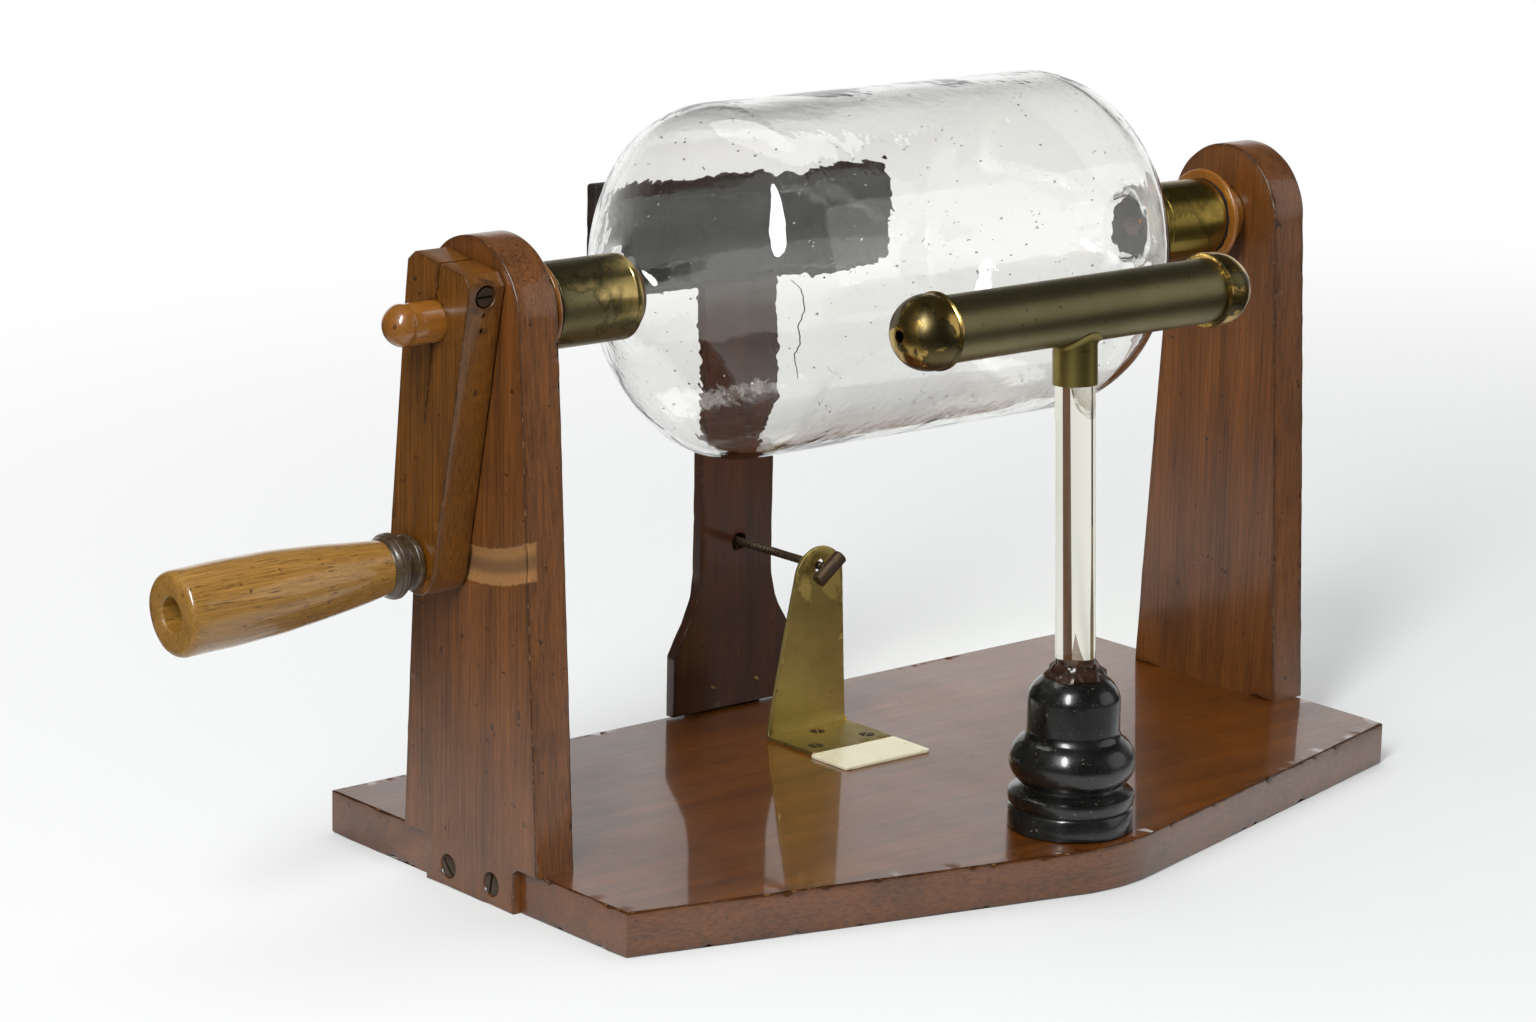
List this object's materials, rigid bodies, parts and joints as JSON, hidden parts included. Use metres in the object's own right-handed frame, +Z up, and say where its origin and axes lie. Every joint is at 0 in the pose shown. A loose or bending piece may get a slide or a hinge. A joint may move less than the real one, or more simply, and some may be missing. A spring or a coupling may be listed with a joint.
{
  "type": "glass cylinder electrical machine",
  "caption": "Hand cranked frictional electrical machine: glass cylinder between wood posts, leather rubber pad on a hinged board with adjusting screw, brass conductor on a glass pillar.",
  "frame": {"origin": "middle of the base board's underside, where the machine stands on the table", "axes": "+X along the cylinder axis away from the crank, +Y to the back where the rubber is, +Z up"},
  "size_m": [0.5344, 0.2458, 0.2916],
  "materials": {
    "mahogany": "french polished red-brown mahogany, worn at the edges",
    "handle_wood": "turned and varnished light hardwood with dark pores",
    "plug_wood": "turned light hardwood, satin",
    "dark_wood": "turned hardwood stained dark",
    "ebonised_wood": "ebonised turned wood, glossy black",
    "cylinder_glass": "blown clear glass with seeds, thin wall",
    "pillar_glass": "solid clear glass rod",
    "aged_brass": "lacquered brass dulled to olive, bright where worn",
    "iron": "dark browned iron, satin",
    "wax": "dark sealing wax",
    "cushion_leather": "black stuffed leather pad, matt",
    "pad_board": "blackened wood board"
  },
  "bodies": {
    "stand": {"base_board": "mahogany", "crank_post": "mahogany", "far_post": "mahogany", "crank_post_screws": "iron", "far_post_screws": "iron", "pillar_base": "ebonised_wood", "pillar_screw": "iron", "wax_seal": "wax", "glass_pillar": "pillar_glass", "conductor_socket": "aged_brass", "conductor_tube": "aged_brass", "conductor_ball_left": "aged_brass", "conductor_ball_right": "aged_brass", "collector_points": "aged_brass", "adjusting_bracket": "aged_brass", "bracket_screws": "iron", "hinge_base_leaf": "aged_brass", "hinge_base_screws": "aged_brass", "hinge_pin": "iron"},
    "cylinder": {"glass_cylinder": "cylinder_glass", "crank_end_cap": "aged_brass", "far_end_cap": "aged_brass", "crank_spindle": "plug_wood", "far_journal": "plug_wood", "crank_arm": "mahogany", "clamp_screw": "iron", "handle_pin": "iron", "handle_collar": "dark_wood"},
    "grip": {"handle_grip": "handle_wood"},
    "rubber": {"rubber_support": "mahogany", "rubber_back": "pad_board", "rubber_cushion": "cushion_leather", "hinge_board_leaf": "aged_brass", "hinge_board_screws": "aged_brass", "adjusting_nut": "aged_brass", "nut_pins": "iron"},
    "adjuster": {"adjusting_screw": "iron", "adjusting_cross_bar": "iron"}
  },
  "joints": [
    {"name": "cylinder_spin", "type": "hinge", "parent": "stand", "child": "cylinder", "pos_m": [0, -0.0018, 0.2228], "axis": [1, 0, 0], "continuous": true},
    {"name": "grip_spin", "type": "hinge", "parent": "cylinder", "child": "grip", "pos_m": [-0.2229, 0.01224, 0.12996], "axis": [-0.9991, 0.0063, -0.0414], "continuous": true},
    {"name": "rubber_tilt", "type": "hinge", "parent": "stand", "child": "rubber", "pos_m": [-0.0018, 0.0958, 0.0181], "axis": [-1, 0, 0], "range_deg": [0, 3]},
    {"name": "adjuster_turn", "type": "hinge", "parent": "stand", "child": "adjuster", "pos_m": [0, 0.035, 0.0896], "axis": [0, -1, 0], "range_deg": [0, 1350]}
  ],
  "couplings": [
    {"joint": "adjuster_turn", "follows": "rubber_tilt", "ratio": 449.25}
  ]
}
